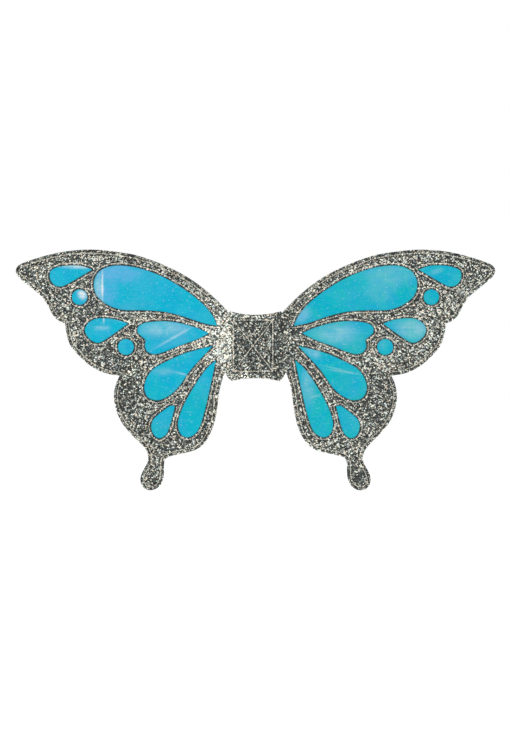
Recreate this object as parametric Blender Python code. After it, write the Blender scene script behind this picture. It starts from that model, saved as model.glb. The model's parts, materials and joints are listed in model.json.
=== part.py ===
"""Fairy wings: a pair of butterfly-shaped glitter wings sewn to a centre band, worn with two elastic loops.

Frame: +X right and +Z up as the wings are seen from behind the wearer, and +Y towards the wearer.
The origin is the middle of the face that lies on the wearer's back, so every cloth layer has y below 0.

Each wing is two glitter skins with nine windows cut through them, an iridescent film between the skins, a foam
core, and a wire that runs round the edge in a sewn channel.  It turns on the fold beside the centre band.
The wings are mirror images of each other.
"""

import math

import bmesh
import bpy
import numpy as np
from mathutils import Matrix, Vector

MM = 0.001

# Overall sizes
WING_LENGTH = 335 * MM  # from the fold to the wing's tip
WING_HEIGHT = 386 * MM  # from the top edge to the end of the tail
FOLD_X = 49 * MM  # from the middle of the band to the fold that a wing turns on

# Layers, from the wearer's side
PATCH = 1.0 * MM
STRAP = 1.3 * MM
SKIN = 0.7 * MM
CORE = 2.4 * MM
FILM = 0.3 * MM
LAYER_GAP = 0.3 * MM
FOLD_GAP = 0.35 * MM  # from the fold line to the cloth on each side of it

# Seams
THREAD = 1.1 * MM
THREAD_HEIGHT = 0.4 * MM
CHANNEL = 5.5 * MM  # from a wing's edge to the seam that closes the wire's channel
WINDOW_SEAM = 3.4 * MM  # from a window's edge to the seam round it

# Inside a wing
FILM_MARGIN = 4.6 * MM  # from the wing's edge to the film
CORE_MARGIN = 6.4 * MM
CORE_WINDOW_GAP = 1.0 * MM
WIRE_MARGIN = 3.0 * MM
WIRE_DIAMETER = 1.6 * MM
WIRE_END_GAP = 1.0 * MM
SLEEVE_LENGTH = 16 * MM
SLEEVE_WALL = 0.35 * MM
SLEEVE_CLEARANCE = 0.3 * MM
SLEEVE_STEPS = 10

# Centre band
BAND_TOP = 54 * MM
BAND_TOP_DIP = 5.5 * MM
BAND_TOP_HALF = FOLD_X - 8.5 * MM
BAND_BOTTOM = -57.8 * MM
BAND_BOTTOM_RISE = 4.6 * MM
BAND_BOTTOM_HALF = FOLD_X - 10 * MM
NOTCH_X = FOLD_X - 6.4 * MM  # the small notch between a wing's top edge and the band's corner
NOTCH_DEPTH = 2.8 * MM
BAND_SIDE_GAP = 1.5 * MM  # from the fold to the band's side
PLATE_MARGIN = 6 * MM  # from the band's edges to the stiffening plate inside it
LEFT_FLAP = 15.5 * MM  # how far a wing's root reaches over the band from the fold
RIGHT_FLAP = 23.5 * MM
BOX_SEAM_MARGIN = 2.2 * MM  # from a root flap's edge to the side of the box seam
BOX_SEAM_TOP = 40 * MM
BOX_SEAM_BOTTOM = -42 * MM

# Elastic loops
STRAP_WIDTH = 20 * MM
STRAP_END_LENGTH = 24 * MM
STRAP_END_HEIGHT = 27 * MM  # from the origin to each sewn end's middle line
STRAP_HINGE_X = FOLD_X - 5.5 * MM
STRAP_HINGE_GAP = 0.5 * MM
STRAP_SPLAY = math.radians(45)  # between a loop's plane and straight ahead of the wearer
STRAP_TWIST_RUN = 56 * MM  # length in which the strap turns from upright to flat against the shoulder
STRAP_STEPS = 4
PATCH_HALF_WIDTH = STRAP_HINGE_X - 6.5 * MM
PATCH_HALF_HEIGHT = STRAP_END_HEIGHT + STRAP_WIDTH / 2 + 4 * MM
PATCH_CORNER = 8 * MM
CORNER_STEPS = 4

# Fineness of the drawn curves
CURVE_STEPS = 8
FOLD_STEPS = 24
ARC_STEP = math.radians(20)
FLATNESS = 0.5 * MM  # how far a curve may pass from its facets
INNER_FLATNESS = 0.8 * MM  # the same, for the layers inside a wing
DOT_SIDES = 12

# The pattern of a wing: (distance out from the fold, height) in pattern units, which are millimetres at the
# sizes above.  Each list is one smooth stretch between two corners of the outline.
PATTERN_LENGTH = 335
PATTERN_HEIGHT = 386
EDGE_STRETCHES = [
    [(0, 59), (10, 69), (32, 89), (61, 109.5), (101, 129.5), (141, 143.6), (176, 149.6), (213, 152.8),
     (251, 150.5), (284, 144), (312, 135.4), (328, 129), (333.6, 124), (334.8, 117.5), (331, 109.5),
     (321, 100.5), (306, 88.5), (292, 76), (282, 61), (275, 47.5), (266, 39), (256, 34.5)],
    [(256, 34.5), (253.6, 18.6), (248, 0.5), (236.5, -14), (221, -29), (203, -40.5), (186, -46.5),
     (168.5, -49)],
    [(168.5, -49), (174.6, -63), (177.8, -81), (174.8, -101), (167, -121), (154, -138.5), (138, -155),
     (127, -167.5), (122.7, -182), (127.5, -195), (134.5, -209), (135, -220), (129, -229.5), (117.5, -232.8),
     (105, -226.5), (98, -211), (97.7, -195.5), (94.6, -181.8), (71, -174.3), (50, -169), (36, -160.5),
     (24.6, -144.3), (16, -121.4), (11.3, -94.3), (7.4, -67), (0, -43.4)],
]
WINDOW_STRETCHES = {
    "tip_teardrop": [
        [(211.7, 120.7), (228, 126.4), (248, 127.6), (268, 124.6), (279, 118.5), (280, 106), (273, 96),
         (261, 93.4), (246, 101.2), (229, 110.4), (211.7, 120.7)]],
    "large": [
        [(12, 30.5), (19, 46), (34, 64.5), (59, 85), (91, 105), (126, 119.8), (161, 127), (186, 125.6),
         (203, 116), (210, 99), (205.5, 79.5), (188, 64.5), (165, 56.2), (130, 55.4), (95, 52.6),
         (61, 43.8), (32, 34), (12, 30.5)]],
    "middle_teardrop": [
        [(154.6, 34.3), (171, 40), (191, 43), (208, 41.6), (220.5, 33.5), (224.3, 22.5), (217, 10),
         (204, 3.2), (191, 8.6), (172, 22), (154.6, 34.3)]],
    "heart": [
        [(25.3, 18.6), (40, 25.6), (62.4, 33), (87, 37.6), (110, 37.8), (129.6, 35), (139, 29), (139.6, 20),
         (134, 14.6), (126.7, 8)],
        [(126.7, 8), (128.3, -2), (124, -11), (113.5, -15), (98, -11.4), (71, -0.7), (45, 8.6),
         (25.3, 18.6)]],
    "hind_teardrop": [
        [(18.9, -1.4), (42, -6.8), (68, -14.4), (95, -27), (115, -38.5), (126, -54), (129.2, -70),
         (123, -84), (109, -88.8), (92, -83), (74, -67.6), (58, -44.3), (37, -20.5), (18.9, -1.4)]],
    "long_teardrop": [
        [(14, -24), (28.5, -36.5), (51, -68.6), (69, -103), (75.3, -127), (70.5, -143), (60, -148.2),
         (46, -141), (36.5, -121), (28, -87), (20, -51), (14, -24)]],
    "tail_teardrop": [
        [(79.6, -98), (86, -96.8), (101, -107.2), (115, -119.5), (118, -132), (112.5, -145.5),
         (103.5, -149.3), (93, -142), (85.5, -121), (79.6, -98)]],
}
WINDOW_DOTS = {"tip_dot": (232.5, 76.6, 12.6), "middle_dot": (158.5, -3.2, 13)}  # centre and radius

# The middle line of an elastic loop in its own plane: (distance from the hinge line, height), in metres.
LOOP_ROUTE = [
    (0.000, 0.027), (0.014, 0.0285), (0.034, 0.038), (0.058, 0.050), (0.086, 0.049), (0.110, 0.033),
    (0.122, 0.004), (0.122, -0.028), (0.108, -0.058), (0.082, -0.074), (0.054, -0.066), (0.033, -0.044),
    (0.014, -0.0292), (0.000, -0.027),
]

# Depths: the front face of each layer, which is the one that looks away from the wearer
PATCH_Y = -PATCH
STRAP_Y = PATCH_Y - LAYER_GAP - STRAP
BACK_Y = STRAP_Y - LAYER_GAP - SKIN
CORE_Y = BACK_Y - LAYER_GAP - CORE
FILM_Y = CORE_Y - LAYER_GAP - FILM
FRONT_Y = FILM_Y - LAYER_GAP - SKIN  # the wings' front skins and the root flaps
BAND_FRONT_Y = FRONT_Y + LAYER_GAP + SKIN
PLATE_Y = BAND_FRONT_Y + LAYER_GAP + SKIN
PLATE = BACK_Y - LAYER_GAP - PLATE_Y
THREAD_Y = FRONT_Y - LAYER_GAP - THREAD_HEIGHT
WIRE_Y = (FRONT_Y + SKIN + BACK_Y) / 2
STRAP_MIDDLE_Y = STRAP_Y + STRAP / 2


# ---- Drawing curves ----

def smooth(knots, steps=CURVE_STEPS):
    """Return points along a centripetal Catmull-Rom curve through the knots, ends included."""
    knots = [np.array(knot, dtype=float) for knot in knots]
    knots = [2 * knots[0] - knots[1]] + knots + [2 * knots[-1] - knots[-2]]
    points = []
    for a, b, c, d in zip(knots, knots[1:], knots[2:], knots[3:]):
        ta = 0.0
        tb = ta + np.linalg.norm(b - a) ** 0.5
        tc = tb + np.linalg.norm(c - b) ** 0.5
        td = tc + np.linalg.norm(d - c) ** 0.5
        for step in range(steps):
            t = tb + (tc - tb) * step / steps
            ab = ((tb - t) * a + (t - ta) * b) / (tb - ta)
            bc = ((tc - t) * b + (t - tb) * c) / (tc - tb)
            cd = ((td - t) * c + (t - tc) * d) / (td - tc)
            abc = ((tc - t) * ab + (t - ta) * bc) / (tc - ta)
            bcd = ((td - t) * bc + (t - tb) * cd) / (td - tb)
            points.append(((tc - t) * abc + (t - tb) * bcd) / (tc - tb))
    points.append(knots[-2])
    return points


def scaled(point):
    """Turn a pattern point into metres: distance out from the fold, and height."""
    return (max(point[0] * WING_LENGTH / PATTERN_LENGTH, FOLD_GAP), point[1] * WING_HEIGHT / PATTERN_HEIGHT)


def joined(stretches):
    """Return the closed curve made of the smooth stretches, without its repeated corners."""
    points = []
    for stretch in stretches:
        points += smooth([scaled(knot) for knot in stretch])[:-1]
    return points


def dot(centre_x, centre_z, radius):
    """Return a round window's points."""
    turns = [2 * math.pi * side / (2 * DOT_SIDES) for side in range(2 * DOT_SIDES)]
    return [np.array(scaled((centre_x + radius * math.cos(turn), centre_z + radius * math.sin(turn))))
            for turn in turns]


def anticlockwise(points):
    """Return the closed curve's points in anticlockwise order."""
    area = sum(a[0] * b[1] - b[0] * a[1] for a, b in zip(points, points[1:] + points[:1]))
    return points if area > 0 else points[::-1]


def distances(points, curve, closed):
    """Return each point's distance from the curve."""
    start = np.array(curve)
    end = np.roll(start, -1, axis=0)
    if not closed:
        start, end = start[:-1], end[:-1]
    run = end - start
    offset = np.array(points)[:, None, :] - start[None, :, :]
    share = np.clip((offset * run).sum(axis=2) / np.maximum((run * run).sum(axis=1), 1e-18), 0, 1)
    return np.linalg.norm(offset - share[:, :, None] * run, axis=2).min(axis=1)


def inset(curve, distance, closed=True):
    """Return the curve moved to its left by the distance, round at the corners it opens."""
    curve = [np.array(point) for point in curve]
    segments = list(zip(curve, curve[1:] + curve[:1]))[:None if closed else -1]
    side = math.copysign(1, distance)
    moved = []
    previous = math.atan2(*(segments[-1][1] - segments[-1][0])[::-1]) if closed else None
    for start, end in segments:
        heading = math.atan2(*(end - start)[::-1])
        if previous is not None:
            turn = (heading - previous + math.pi) % (2 * math.pi) - math.pi
            steps = max(1, math.ceil(abs(turn) / ARC_STEP)) if turn * side < 0 else 1
            for step in range(steps):
                normal = previous + turn * (step + 0.5) / steps + math.pi / 2
                moved.append(start + distance * np.array((math.cos(normal), math.sin(normal))))
        else:
            moved.append(start + distance * np.array((-math.sin(heading), math.cos(heading))))
        previous = heading
    if not closed:
        moved.append(curve[-1] + distance * np.array((-math.sin(previous), math.cos(previous))))
    kept = distances(moved, curve, closed) > abs(distance) * 0.985
    return [point for point, keep in zip(moved, kept) if keep]


def thinned(points, flatness=FLATNESS):
    """Return the open curve without the points that its flatness doesn't need."""
    start, end = points[0], points[-1]
    if len(points) < 3:
        return [start, end]
    middle = distances(points[1:-1], [start, end], closed=False)
    worst = int(np.argmax(middle)) + 1
    if middle[worst - 1] <= flatness:
        return [start, end]
    return thinned(points[:worst + 1], flatness)[:-1] + thinned(points[worst:], flatness)


def thinned_loop(points, flatness=FLATNESS):
    """Return the closed curve without the points that its flatness doesn't need."""
    far = max(range(len(points)), key=lambda index: np.linalg.norm(points[index] - points[0]))
    return thinned(points[:far + 1], flatness)[:-1] + thinned(points[far:] + points[:1], flatness)[:-1]


ROOT_TOP = scaled(EDGE_STRETCHES[0][0])[1]
ROOT_BOTTOM = scaled(EDGE_STRETCHES[-1][-1])[1]
FOLD_SIDE = [np.array((FOLD_GAP, ROOT_TOP + (ROOT_BOTTOM - ROOT_TOP) * step / FOLD_STEPS))
             for step in range(FOLD_STEPS + 1)]
OUTER_EDGE = [FOLD_SIDE[-1]] + joined(EDGE_STRETCHES)[::-1]  # anticlockwise, from the fold's foot to its top
OUTLINE = OUTER_EDGE + FOLD_SIDE[1:-1]
WINDOWS = {name: anticlockwise(joined(stretches)) for name, stretches in WINDOW_STRETCHES.items()}
WINDOWS.update({name: anticlockwise(dot(*shape)) for name, shape in WINDOW_DOTS.items()})


# ---- Making objects ----

FINISHES = {
    "glitter": ((0.32, 0.33, 0.32), 0.35, 0.6),
    "film": ((0.0, 0.46, 0.65), 0.12, 0.3),
    "thread": ((0.80, 0.79, 0.74), 0.5, 0.0),
    "foam": ((0.75, 0.75, 0.73), 0.9, 0.0),
    "steel": ((0.55, 0.56, 0.58), 0.3, 1.0),
    "felt": ((0.10, 0.10, 0.11), 0.95, 0.0),
    "elastic": ((0.82, 0.82, 0.80), 0.8, 0.0),
}


def clear_scene():
    """Remove every object."""
    for item in list(bpy.data.objects):
        bpy.data.objects.remove(item, do_unlink=True)


def finish(item, kind):
    """Give the object a material of its own."""
    colour, roughness, metallic = FINISHES[kind]
    material = bpy.data.materials.new(item.name)
    material.use_nodes = True
    shader = material.node_tree.nodes["Principled BSDF"]
    shader.inputs["Base Color"].default_value = (*colour, 1)
    shader.inputs["Roughness"].default_value = roughness
    shader.inputs["Metallic"].default_value = metallic
    item.data.materials.append(material)


def add(name, data, kind, parent=None):
    """Link a new object under its parent and finish it."""
    item = bpy.data.objects.new(name, data)
    bpy.context.collection.objects.link(item)
    item.parent = parent
    finish(item, kind)
    return item


def add_solid(name, mesh, kind, parent=None):
    """Turn a bmesh into an object with its faces pointing out."""
    bmesh.ops.recalc_face_normals(mesh, faces=mesh.faces)
    data = bpy.data.meshes.new(name)
    mesh.to_mesh(data)
    mesh.free()
    return add(name, data, kind, parent)


def plate(name, outline, holes, front, thickness, kind, parent=None, side=1):
    """Cut a flat piece with holes from (x, z) outlines and give it its thickness, towards +Y."""
    mesh = bmesh.new()
    edges = []
    for loop in [outline] + holes:
        corners = [mesh.verts.new((side * x, front, z)) for x, z in loop]
        edges += [mesh.edges.new(pair) for pair in zip(corners, corners[1:] + corners[:1])]
    bmesh.ops.triangle_fill(mesh, edges=edges, use_beauty=True, use_dissolve=False, normal=(0, -1, 0))
    extruded = bmesh.ops.extrude_face_region(mesh, geom=mesh.faces[:])
    raised = [item for item in extruded["geom"] if isinstance(item, bmesh.types.BMVert)]
    bmesh.ops.translate(mesh, verts=raised, vec=(0, thickness, 0))
    return add_solid(name, mesh, kind, parent)


def empty(name, location):
    """Add an empty on a joint's axis."""
    item = bpy.data.objects.new(name, None)
    item.location = location
    bpy.context.collection.objects.link(item)
    return item


# ---- The wings ----

def make_edge_wire(name, hinge, side, depth):
    """Bend the wire round the wing's edge, with its ends inside the sleeve beside the fold."""
    fold_side = FOLD_GAP + WIRE_MARGIN
    middle = (ROOT_TOP + ROOT_BOTTOM) / 2
    loop = inset(OUTLINE, WIRE_MARGIN)
    start = min(range(len(loop)), key=lambda index: loop[index][0] + abs(loop[index][1] - middle))
    route = [np.array((fold_side, middle - WIRE_END_GAP / 2)), *loop[start + 1:], *loop[:start],
             np.array((fold_side, middle + WIRE_END_GAP / 2))]
    route = thinned(route, INNER_FLATNESS)
    curve = bpy.data.curves.new(name, "CURVE")
    curve.dimensions = "3D"
    curve.bevel_depth = WIRE_DIAMETER / 2
    curve.bevel_resolution = 1
    curve.use_fill_caps = True
    spline = curve.splines.new("POLY")
    spline.points.add(len(route) - 1)
    for point, (x, z) in zip(spline.points, route):
        point.co = (side * x, depth, z, 1)
    add(name + "_edge_wire", curve, "steel", hinge)
    make_sleeve(name + "_wire_sleeve", hinge, (side * fold_side, depth, middle))


def make_sleeve(name, hinge, middle):
    """Turn the crimped sleeve that joins the wire's two ends."""
    inner = WIRE_DIAMETER / 2 + SLEEVE_CLEARANCE
    mesh = bmesh.new()
    corners = [mesh.verts.new((radius, 0, z)) for radius, z in (
        (inner, -SLEEVE_LENGTH / 2), (inner + SLEEVE_WALL, -SLEEVE_LENGTH / 2),
        (inner + SLEEVE_WALL, SLEEVE_LENGTH / 2), (inner, SLEEVE_LENGTH / 2))]
    profile = [mesh.edges.new(pair) for pair in zip(corners, corners[1:] + corners[:1])]
    bmesh.ops.spin(mesh, geom=profile, cent=(0, 0, 0), axis=(0, 0, 1), angle=2 * math.pi,
                   steps=SLEEVE_STEPS, use_merge=True)
    bmesh.ops.remove_doubles(mesh, verts=mesh.verts, dist=0.00001)
    bmesh.ops.transform(mesh, matrix=Matrix.Translation(middle), verts=mesh.verts)
    add_solid(name, mesh, "steel", hinge)


def seam_ring(name, curve, distance, front, hinge, side):
    """Lay a ring of thread round a closed curve, at a distance outside it."""
    outer = thinned_loop(inset(curve, -(distance + THREAD / 2)))
    inner = thinned_loop(inset(curve, -(distance - THREAD / 2)))
    plate(name, outer, [inner], front, THREAD_HEIGHT, "thread", hinge, side)


def make_edge_seam(name, hinge, side, front):
    """Lay the thread that closes the wire's channel, from the fold's top round the wing to its bottom."""
    outer = thinned(inset(OUTER_EDGE, CHANNEL - THREAD / 2, closed=False))
    inner = thinned(inset(OUTER_EDGE, CHANNEL + THREAD / 2, closed=False))
    plate(name, outer + inner[::-1], [], front, THREAD_HEIGHT, "thread", hinge, side)


def make_wing(name, side):
    """Make one wing on its fold."""
    hinge = empty(name + "_fold", (side * FOLD_X, FRONT_Y, 0))
    outline = thinned_loop(OUTLINE)
    windows = [thinned_loop(window) for window in WINDOWS.values()]
    film = thinned_loop(inset(OUTLINE, FILM_MARGIN), INNER_FLATNESS)
    core = thinned_loop(inset(OUTLINE, CORE_MARGIN), INNER_FLATNESS)
    core_windows = [thinned_loop(inset(window, -CORE_WINDOW_GAP)) for window in WINDOWS.values()]
    depth = {layer: y - FRONT_Y for layer, y in (
        ("film", FILM_Y), ("core", CORE_Y), ("back", BACK_Y), ("wire", WIRE_Y), ("thread", THREAD_Y))}
    plate(name + "_front_skin", outline, windows, 0, SKIN, "glitter", hinge, side)
    plate(name + "_film", film, [], depth["film"], FILM, "film", hinge, side)
    plate(name + "_foam_core", core, core_windows, depth["core"], CORE, "foam", hinge, side)
    plate(name + "_back_skin", outline, windows, depth["back"], SKIN, "glitter", hinge, side)
    make_edge_wire(name, hinge, side, depth["wire"])
    make_edge_seam(name + "_edge_seam", hinge, side, depth["thread"])
    for window, curve in WINDOWS.items():
        seam_ring(f"{name}_{window}_seam", curve, WINDOW_SEAM, depth["thread"], hinge, side)


# ---- The centre band ----

def band_top(x):
    """Return the height of the band's top edge."""
    x = abs(x)
    if x <= BAND_TOP_HALF:
        return BAND_TOP - BAND_TOP_DIP * (1 - (x / BAND_TOP_HALF) ** 2)
    if x <= NOTCH_X:
        return BAND_TOP - NOTCH_DEPTH * (x - BAND_TOP_HALF) / (NOTCH_X - BAND_TOP_HALF)
    return BAND_TOP - NOTCH_DEPTH + (ROOT_TOP - BAND_TOP + NOTCH_DEPTH) * (x - NOTCH_X) / (FOLD_X - NOTCH_X)


def band_bottom(x):
    """Return the height of the band's bottom edge."""
    x = abs(x)
    if x <= BAND_BOTTOM_HALF:
        return BAND_BOTTOM + BAND_BOTTOM_RISE * (1 - (x / BAND_BOTTOM_HALF) ** 2)
    return BAND_BOTTOM + (ROOT_BOTTOM - BAND_BOTTOM) * (x - BAND_BOTTOM_HALF) / (FOLD_X - BAND_BOTTOM_HALF)


def band_outline(left, right, margin=0.0):
    """Return the outline of the band's stretch between two places, drawn in from its edges by the margin."""
    def edge(height, corners):
        steps = 8
        arch = [corners[0] * (2 * step / steps - 1) for step in range(steps + 1)]
        places = sorted({left, right, *arch, *corners, *[-x for x in corners]})
        return [(x, height(x)) for x in places if left <= x <= right]

    top = edge(band_top, (BAND_TOP_HALF, NOTCH_X))
    bottom = edge(band_bottom, (BAND_BOTTOM_HALF,))
    return [(x, z + margin) for x, z in bottom] + [(x, z - margin) for x, z in top[::-1]]


def make_box_seam(left, right):
    """Lay the box seam with its cross, over the root flaps and the band between them."""
    half = THREAD / 2
    outer = [(left - half, BOX_SEAM_BOTTOM - half), (right + half, BOX_SEAM_BOTTOM - half),
             (right + half, BOX_SEAM_TOP + half), (left - half, BOX_SEAM_TOP + half)]
    middle = Vector(((left + right) / 2, (BOX_SEAM_TOP + BOX_SEAM_BOTTOM) / 2))
    corners = [Vector((left, BOX_SEAM_BOTTOM)), Vector((right, BOX_SEAM_BOTTOM)),
               Vector((right, BOX_SEAM_TOP)), Vector((left, BOX_SEAM_TOP))]
    holes = []
    for start, end in zip(corners, corners[1:] + corners[:1]):
        triangle = [start, end, middle]
        pull = [((triangle[i - 1] - corner).normalized(), (triangle[i - 2] - corner).normalized())
                for i, corner in enumerate(triangle)]
        holes.append([corner + (a + b) * half / abs(a.cross(b)) for corner, (a, b) in zip(triangle, pull)])
    plate("box_seam", outer, holes, THREAD_Y, THREAD_HEIGHT, "thread")


def rounded_rectangle(half_width, half_height, corner):
    """Return the outline of a rectangle with round corners."""
    points = []
    for quarter, (x, z) in enumerate(((1, 1), (-1, 1), (-1, -1), (1, -1))):
        for step in range(CORNER_STEPS + 1):
            turn = math.pi / 2 * (quarter + step / CORNER_STEPS)
            points.append((x * (half_width - corner) + corner * math.cos(turn),
                           z * (half_height - corner) + corner * math.sin(turn)))
    return points


def make_band():
    """Make the centre band, the wings' root flaps sewn over it, and the patch on the wearer's side."""
    side = FOLD_X - BAND_SIDE_GAP
    inside = FOLD_X - FOLD_GAP
    left_edge, right_edge = LEFT_FLAP - FOLD_X, FOLD_X - RIGHT_FLAP
    plate("band_front", band_outline(-side, side), [], BAND_FRONT_Y, SKIN, "glitter")
    plate("band_plate", band_outline(PLATE_MARGIN - side, side - PLATE_MARGIN, PLATE_MARGIN), [], PLATE_Y, PLATE,
          "foam")
    plate("band_back", band_outline(-side, side), [], BACK_Y, SKIN, "felt")
    plate("left_root_flap", band_outline(-inside, left_edge), [], FRONT_Y, SKIN, "glitter")
    plate("right_root_flap", band_outline(right_edge, inside), [], FRONT_Y, SKIN, "glitter")
    make_box_seam(left_edge - BOX_SEAM_MARGIN, right_edge + BOX_SEAM_MARGIN)
    plate("back_patch", rounded_rectangle(PATCH_HALF_WIDTH, PATCH_HALF_HEIGHT, PATCH_CORNER), [], PATCH_Y, PATCH,
          "felt")


# ---- The elastic loops ----

def make_strap_end(name, side, height):
    """Make one end of a loop, sewn flat under the patch."""
    tip, hinge = STRAP_HINGE_X - STRAP_END_LENGTH, STRAP_HINGE_X - STRAP_HINGE_GAP
    low, high = height - STRAP_WIDTH / 2, height + STRAP_WIDTH / 2
    plate(name, [(tip, low), (hinge, low), (hinge, high), (tip, high)], [], STRAP_Y, STRAP, "elastic", side=side)


def make_strap_loop(name, side):
    """Sweep the strap along its route, upright at its ends and flat against the shoulder between them."""
    hinge = empty(name + "_swing", (side * STRAP_HINGE_X, STRAP_MIDDLE_Y, 0))
    route = smooth(LOOP_ROUTE, STRAP_STEPS)
    route[0] = np.array((STRAP_HINGE_GAP, route[0][1]))
    route[-1] = np.array((STRAP_HINGE_GAP, route[-1][1]))
    lengths = np.concatenate(([0], np.cumsum(np.linalg.norm(np.diff(route, axis=0), axis=1))))
    ahead = Vector((side * math.sin(STRAP_SPLAY), math.cos(STRAP_SPLAY), 0))
    across = Vector((side * math.cos(STRAP_SPLAY), -math.sin(STRAP_SPLAY), 0))
    up = Vector((0, 0, 1))
    mesh = bmesh.new()
    rings = []
    for index, ((out, height), length) in enumerate(zip(route, lengths)):
        before, after = route[max(index - 1, 0)], route[min(index + 1, len(route) - 1)]
        heading = (ahead * (after[0] - before[0]) + up * (after[1] - before[1])).normalized()
        if index in (0, len(route) - 1):
            heading = ahead if index == 0 else -ahead
        upright = across.cross(heading)
        share = min(1, min(length, lengths[-1] - length) / STRAP_TWIST_RUN)
        twist = math.pi / 2 * share * share * (3 - 2 * share)
        width = (upright * math.cos(twist) + across * math.sin(twist)) * STRAP_WIDTH / 2
        depth = heading.cross(width).normalized() * STRAP / 2
        middle = ahead * out + up * height
        rings.append([mesh.verts.new(middle + width * a + depth * b)
                      for a, b in ((-1, -1), (1, -1), (1, 1), (-1, 1))])
    for ring, following in zip(rings, rings[1:]):
        for corner in range(4):
            mesh.faces.new((ring[corner - 1], ring[corner], following[corner], following[corner - 1]))
    mesh.faces.new(rings[0])
    mesh.faces.new(rings[-1])
    add_solid(name, mesh, "elastic", hinge)


def main():
    """Make every piece."""
    clear_scene()
    for name, side in (("left", -1), ("right", 1)):
        make_wing(name + "_wing", side)
        make_strap_loop(name + "_strap_loop", side)
        make_strap_end(name + "_strap_top_end", side, STRAP_END_HEIGHT)
        make_strap_end(name + "_strap_bottom_end", side, -STRAP_END_HEIGHT)
    make_band()


main()
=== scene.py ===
"""Fairy wings: the glitter cloth, film, thread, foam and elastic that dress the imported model.

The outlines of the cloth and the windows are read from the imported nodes, rounded into smooth curves, and
meshed finely enough to be quilted.  Left is -X, and -Y faces away from the wearer.
"""

import json
import math

import bmesh
import bpy
import numpy as np
from bpy.props import FloatProperty, FloatVectorProperty, PointerProperty
from bpy.types import Operator, Panel, PropertyGroup
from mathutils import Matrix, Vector, geometry, kdtree

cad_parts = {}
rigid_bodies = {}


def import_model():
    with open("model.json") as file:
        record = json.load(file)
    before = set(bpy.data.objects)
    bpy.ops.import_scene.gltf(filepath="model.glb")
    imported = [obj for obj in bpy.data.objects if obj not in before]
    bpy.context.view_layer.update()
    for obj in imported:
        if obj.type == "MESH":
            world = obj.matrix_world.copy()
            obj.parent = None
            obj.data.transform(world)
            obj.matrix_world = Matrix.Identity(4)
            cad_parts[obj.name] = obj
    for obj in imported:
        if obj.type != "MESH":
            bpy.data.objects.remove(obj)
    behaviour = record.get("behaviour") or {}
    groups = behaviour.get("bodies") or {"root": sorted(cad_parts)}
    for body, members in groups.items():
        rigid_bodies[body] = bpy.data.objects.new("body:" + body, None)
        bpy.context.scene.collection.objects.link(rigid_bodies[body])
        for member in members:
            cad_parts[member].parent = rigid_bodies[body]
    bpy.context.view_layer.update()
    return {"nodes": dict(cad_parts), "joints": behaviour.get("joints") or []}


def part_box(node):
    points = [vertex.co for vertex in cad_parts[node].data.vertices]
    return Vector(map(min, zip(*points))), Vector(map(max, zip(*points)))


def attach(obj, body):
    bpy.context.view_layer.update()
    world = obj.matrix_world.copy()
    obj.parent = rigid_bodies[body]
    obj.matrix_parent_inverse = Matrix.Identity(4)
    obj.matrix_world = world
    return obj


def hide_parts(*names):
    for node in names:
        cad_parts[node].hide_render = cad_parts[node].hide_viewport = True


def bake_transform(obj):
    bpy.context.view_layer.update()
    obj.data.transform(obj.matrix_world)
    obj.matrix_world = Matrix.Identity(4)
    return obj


bl_info = {
    "name": "Fairy wings",
    "version": (1, 0, 0),
    "blender": (4, 5, 0),
    "location": "View3D > Sidebar > Fairy wings",
    "description": "Quilted glitter wings with iridescent windows, sewn to a centre band with elastic loops",
    "category": "Object",
}

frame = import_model()
MM = 0.001

SIDES = (("left", -1), ("right", 1))
WINDOWS = ("tip_teardrop", "large", "middle_teardrop", "heart", "hind_teardrop", "long_teardrop",
           "tail_teardrop", "tip_dot", "middle_dot")
JOINTS = {joint["name"]: Vector(joint["pos_m"]) for joint in frame["joints"]}
FOLD_X = JOINTS["right_wing_fold"].x
STRAP_HINGE = JOINTS["right_strap_swing"]
CORNER_TURN = math.radians(50)  # a sharper turn in an outline is a real corner, not a facet

# The middle line of an elastic loop in its own plane: (distance from the hinge line, height)
LOOP_ROUTE = [
    (0.000, 0.027), (0.014, 0.0285), (0.034, 0.038), (0.058, 0.050), (0.086, 0.049), (0.110, 0.033),
    (0.122, 0.004), (0.122, -0.028), (0.108, -0.058), (0.082, -0.074), (0.054, -0.066), (0.033, -0.044),
    (0.014, -0.0292), (0.000, -0.027),
]


# ---- Sizes and colours that a user would change ----

def length(name, description, default):
    """Return a property that holds a length."""
    return FloatProperty(name=name, description=description, default=default, min=0, unit="LENGTH")


def colour(name, description, default):
    """Return a property that holds a colour."""
    return FloatVectorProperty(name=name, description=description, default=default, min=0, max=1,
                               size=3, subtype="COLOR")


class WingsCloth(PropertyGroup):
    """Sizes and colours of the quilted glitter cloth."""

    pitch: length("Mesh pitch", "Distance between the cloth's vertices", 1.6 * MM)
    thickness: length("Thickness", "Thickness of the glitter cloth", 0.7 * MM)
    front_puff: length("Front puff", "How far the foam lifts the outer cloth between its seams", 1.25 * MM)
    back_puff: length("Back puff", "How far the foam lifts the inner cloth between its seams", 1.9 * MM)
    puff_run: length("Puff run", "Distance from a seam in which the cloth rises", 2.6 * MM)
    pucker: length("Pucker", "Height of the small gathers beside a seam", 0.16 * MM)
    flake: length("Flake", "Width of one glitter flake", 1.9 * MM)
    dark: colour("Dark flakes", "Colour of the flakes that face away from the light", (0.018, 0.021, 0.021))
    silver: colour("Silver flakes", "Colour of the ordinary flakes", (0.155, 0.168, 0.152))
    bright: colour("Bright flakes", "Colour of the flakes that catch the light", (0.94, 0.92, 0.82))


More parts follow.
